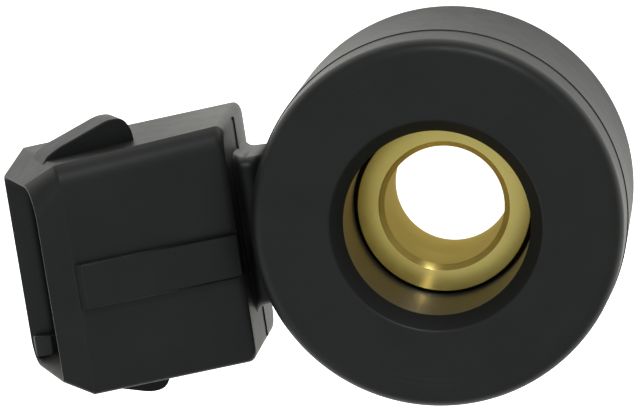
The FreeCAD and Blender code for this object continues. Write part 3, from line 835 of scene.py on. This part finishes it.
class MESH_OT_knock_key(Operator):
    """Add the polarising rib in one inner corner of the hood"""
    bl_idname = "mesh.knock_key"
    bl_label = "Polarising rib"

    def execute(self, context):
        hood, size = context.scene.knock_hood, context.scene.knock_trim
        left = hood.rim_shift - hood.rim_half_width + hood.wall
        floor = hood.rim_rise + hood.wall - hood.mouth_depth
        rim_at = hood.reach + hood.bevel
        rings = []
        for behind, narrower, lower in RIB_PROFILE:
            ring = frame_ring(left + size.rib_width - narrower * MM, left - SUNK,
                              floor + size.rib_height - lower * MM, floor - SUNK,
                              size.rib_round, 5)
            rings.append(station(rim_at - behind * MM, ring))
        hood_piece("polarising_rib", np.array(rings), nylon())
        return {"FINISHED"}


class MESH_OT_knock_neck(Operator):
    """Add the neck that carries the hood on the ring"""
    bl_idname = "mesh.knock_neck"
    bl_label = "Neck"

    def execute(self, context):
        size = context.scene.knock_trim
        seat = context.scene.knock_ring.foot_radius - size.neck_seat
        rings = []
        for away, grow in ((seat / MM, 0.0), *NECK_PROFILE):
            side = size.neck_half_width + grow * MM
            ring = frame_ring(side, -side, size.neck_upper + grow * MM,
                              size.neck_lower - grow * MM, size.neck_round, 7)
            rings.append(station(-away * MM, ring))
        loft_piece("neck", np.array(rings)[:, ::-1], nylon())
        return {"FINISHED"}


def strip_rings(line, across, width, thickness):
    """Rings of a flat strip that follows a line in the upright plane, half as thick at its start.

    The strip's thickness lies along the mean of the line's normals at each point, lengthened
    by one over the cosine of half the bend, so that both faces stay parallel."""
    runs = np.diff(line, axis=0)
    normals = np.stack([-runs[:, 2], 0 * runs[:, 0], runs[:, 0]], -1)
    normals /= np.linalg.norm(normals, axis=1, keepdims=True)
    mitred = np.vstack([normals[:1], normals[:-1] + normals[1:], normals[-1:]])
    mitred /= np.linalg.norm(mitred, axis=1, keepdims=True)
    partner = np.vstack([normals, normals[-1:]])
    mitred /= (mitred * partner).sum(1, keepdims=True)
    half = np.full(len(line), thickness / 2)
    half[0] /= 2
    outline = frame_ring(width / 2, -width / 2, thickness / 2, -thickness / 2,
                         thickness * 0.2, 5)
    share = outline[:, 1] / (thickness / 2)
    points = line[:, None] + share[None, :, None] * half[:, None, None] * mitred[:, None]
    points[..., 1] += across + outline[:, 0]
    return points


class MESH_OT_knock_terminals(Operator):
    """Add the two stamped terminals that stand in the hood"""
    bl_idname = "mesh.knock_terminals"
    bl_label = "Terminals"

    def execute(self, context):
        size = context.scene.knock_terminals
        middle = -context.scene.knock_hood.mouth_depth / 2
        blade = [hood_point(along, 0, middle)
                 for along in (size.tip, size.tip - size.taper, -size.knee)]
        for name, side, contact in (("ground_pin", -1, size.ground_contact),
                                    ("signal_pin", 1, size.signal_contact)):
            foot_level = contact + size.thickness / 2
            line = np.array([*blade, (-size.leg, 0, size.leg_top), (-size.leg, 0, foot_level),
                             (-size.foot, 0, foot_level)])
            rings = strip_rings(line, side * size.spacing / 2, size.width, size.thickness)
            loft_piece(name + "_stamped", rings, tin(), name)
        return {"FINISHED"}


# Finish of the pieces that keep their solids: (maker, name, colour, roughness, pieces).
HIDDEN_FINISHES = (
    (filler_material, "film_finish", (0.80, 0.76, 0.62), 0.3,
     ("insulating_tube", "lower_insulator", "upper_insulator")),
    (filler_material, "ceramic_finish", (0.50, 0.49, 0.45), 0.5, ("piezo_ring",)),
    (filler_material, "chip_finish", (0.05, 0.05, 0.06), 0.4, ("bleed_resistor",)),
    (strip_material, "bronze_finish", (0.66, 0.50, 0.28), 0.28,
     ("lower_contact", "upper_contact")),
    (strip_material, "steel_finish", (0.42, 0.42, 0.43), 0.3, ("disc_spring",)),
)


class MESH_OT_knock_inside(Operator):
    """Give the pieces that the moulding hides their own finishes"""
    bl_idname = "mesh.knock_inside"
    bl_label = "Hidden pieces"

    def execute(self, context):
        for maker, name, base, roughness, pieces in HIDDEN_FINISHES:
            material = made(maker, name, base, roughness)
            for piece in pieces:
                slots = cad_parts[piece].data.materials
                slots.clear()
                slots.append(material)
        return {"FINISHED"}


# The sweep is the white ground that only the camera sees: its reach, bend and height. The
# table is the darker ground that lights the part: rings of (radius, height).
SWEEP_REACH, SWEEP_BEND, SWEEP_HEIGHT = 3.0, 0.8, 2.9
TABLE_RINGS = ((0.001, 0), (0.01, 0), (0.02, 0), (0.05, 0), (0.3, 0), (3, 0))
SHEET_SIDES = 96
TABLE_TONE = (0.25, 0.25, 0.25)
TABLE_TINT = (1.0, 1.0, 0.95, 1)
# Glow of the table: centres, and stops of (distance from them in SHADE_UNITS, level).
SHADE_UNIT = 0.05
TABLE_SHADES = (
    ((0.0035, 0.0055),
     ((0.1, 0.45), (0.2, 0.62), (0.27, 0.85), (0.33, 1.25), (0.42, 1.22), (0.5, 0.92))),
    ((0.0, 0.0), ((0.06, 0.46), (0.13, 1.0))),
)
# Sky: stops of (height, level).
SKY_STOPS = ((0.0, 0.29), (1.0, 0.52))
SKY_TINT = (0.96, 1.03, 1.0)
# Lamps: (name, place, size, power), all aimed at the origin.
LAMPS = (("key", (0.2, 0.607, 0.62), 0.05, 1.3), ("fill", (-0.7, -0.35, 0.5), 0.5, 0.5))
LAMP_TINT = (0.96, 0.98, 1.04)
CAMERA_LENS = 191.39
CAMERA_SENSOR = 36.0
CAMERA_PLACE = (0.02559127, 0.04309835, 0.24059989)
CAMERA_RIGHT = (0.98174129, -0.14930749, -0.11786141)
CAMERA_FORWARD = (-0.14367359, -0.17594496, -0.97385896)


def sheet_material(name, tone, tint, shades):
    """Matt paper that glows in a tint, by the product of the shades' levels."""
    nodes = Nodes(name)
    nodes.put("Base Color", nodes.tones(nodes.noise(3.0, detail=2), tone, 0.99, 1.0, 0.0, 1.0))
    glow = 1.0
    for centre, stops in shades:
        away = nodes.math("DIVIDE", nodes.radius(centre), SHADE_UNIT)
        glow = nodes.math("MULTIPLY", nodes.level(away, stops), glow)
    nodes.put("Emission Color", tint)
    nodes.put("Emission Strength", glow)
    nodes.put("Roughness", 0.9)
    return nodes.material


def studio_sheet(name, outline, material, seen):
    """Ground turned round the bore axis, for the camera alone or for all other rays alone."""
    points = turned_points(outline, np.linspace(0, 2 * np.pi, SHEET_SIDES, endpoint=False))
    faces = grid_faces(len(outline), SHEET_SIDES)
    mesh = bpy.data.meshes.new(name)
    mesh.from_pydata(points.reshape(-1, 3), [], [list(face) for face in faces])
    mesh.materials.append(material)
    sheet = bpy.data.objects.new(name, mesh)
    bpy.context.scene.collection.objects.link(sheet)
    sheet.visible_camera = seen
    for kind in ("diffuse", "glossy", "transmission", "volume_scatter", "shadow"):
        setattr(sheet, "visible_" + kind, not seen)


def light_sky(scene):
    """Sky whose light goes from the horizon's level to the zenith's."""
    world = bpy.data.worlds.new("studio")
    scene.world = world
    world.use_nodes = True
    tree = world.node_tree
    sky = tree.nodes["Background"]
    place = tree.nodes.new("ShaderNodeTexCoord")
    split = tree.nodes.new("ShaderNodeSeparateXYZ")
    ramp = tree.nodes.new("ShaderNodeValToRGB")
    tree.links.new(place.outputs["Generated"], split.inputs["Vector"])
    tree.links.new(split.outputs["Z"], ramp.inputs["Fac"])
    tree.links.new(ramp.outputs["Color"], sky.inputs["Color"])
    for element, (position, level) in zip(ramp.color_ramp.elements, SKY_STOPS):
        element.position = position
        element.color = (*shade(SKY_TINT, level), 1)
    sky.inputs["Strength"].default_value = 1.0


def add_lamp(scene, name, place, size, power):
    light = bpy.data.lights.new(name, "AREA")
    light.size = size
    light.energy = power
    light.color = LAMP_TINT
    lamp = bpy.data.objects.new(name, light)
    lamp.location = place
    lamp.rotation_mode = "QUATERNION"
    lamp.rotation_quaternion = Vector(place).to_track_quat("Z", "Y")
    scene.collection.objects.link(lamp)


def add_camera(scene):
    camera = bpy.data.cameras.new("camera")
    camera.lens = CAMERA_LENS
    camera.sensor_width = CAMERA_SENSOR
    camera.clip_start, camera.clip_end = 0.01, 10.0
    eye = bpy.data.objects.new("camera", camera)
    right, forward = Vector(CAMERA_RIGHT), Vector(CAMERA_FORWARD)
    turn = Matrix((right, right.cross(forward), -forward)).transposed()
    eye.matrix_world = Matrix.Translation(CAMERA_PLACE) @ turn.to_4x4()
    scene.collection.objects.link(eye)
    scene.camera = eye


class MESH_OT_knock_stage(Operator):
    """Add the pale floor, the soft studio light and the camera"""
    bl_idname = "mesh.knock_stage"
    bl_label = "Studio stage"

    def execute(self, context):
        scene = context.scene
        box = [(0, 0), (SWEEP_REACH, 0), (SWEEP_REACH, SWEEP_REACH), (0, SWEEP_REACH)]
        sweep = rounded_outline(box, [0, SWEEP_BEND, 0, 0], 24)
        paper = sheet_material("studio_sweep", scene.knock_colours.floor, (1, 1, 1, 1), ())
        studio_sheet("studio_sweep", sweep[sweep[:, 1] < SWEEP_HEIGHT], paper, True)
        board = sheet_material("studio_table", TABLE_TONE, TABLE_TINT, TABLE_SHADES)
        studio_sheet("studio_table", np.array(TABLE_RINGS), board, False)
        light_sky(scene)
        for lamp in LAMPS:
            add_lamp(scene, *lamp)
        add_camera(scene)
        scene.view_settings.view_transform = "Standard"
        scene.view_settings.look = "None"
        return {"FINISHED"}


class VIEW3D_PT_knock_sensor(Panel):
    """Buttons and sizes of the knock sensor"""
    bl_label = "Knock sensor"
    bl_space_type = "VIEW_3D"
    bl_region_type = "UI"
    bl_category = "Knock sensor"

    def draw(self, context):
        for maker in MAKERS:
            self.layout.operator(maker.bl_idname)
        for name in GROUPS:
            group = getattr(context.scene, name)
            for key in group.__annotations__:
                self.layout.prop(group, key)


MAKERS = (
    MESH_OT_knock_ring, MESH_OT_knock_sleeve, MESH_OT_knock_mass, MESH_OT_knock_hood,
    MESH_OT_knock_seam, MESH_OT_knock_ramps, MESH_OT_knock_pad, MESH_OT_knock_key,
    MESH_OT_knock_neck, MESH_OT_knock_terminals, MESH_OT_knock_inside, MESH_OT_knock_stage,
)
GROUPS = {
    "knock_ring": RingSizes, "knock_brass": BrassSizes, "knock_hood": HoodSizes,
    "knock_trim": TrimSizes, "knock_terminals": TerminalSizes, "knock_colours": SensorColours,
}


def register():
    for item in (*GROUPS.values(), *MAKERS, VIEW3D_PT_knock_sensor):
        bpy.utils.register_class(item)
    for name, group in GROUPS.items():
        setattr(bpy.types.Scene, name, PointerProperty(type=group))


def unregister():
    for name in GROUPS:
        delattr(bpy.types.Scene, name)
    for item in reversed((*GROUPS.values(), *MAKERS, VIEW3D_PT_knock_sensor)):
        bpy.utils.unregister_class(item)


def main():
    register()
    for maker in MAKERS:
        folder, name = maker.bl_idname.split(".")
        getattr(getattr(bpy.ops, folder), name)()


if __name__ == "__main__":
    main()
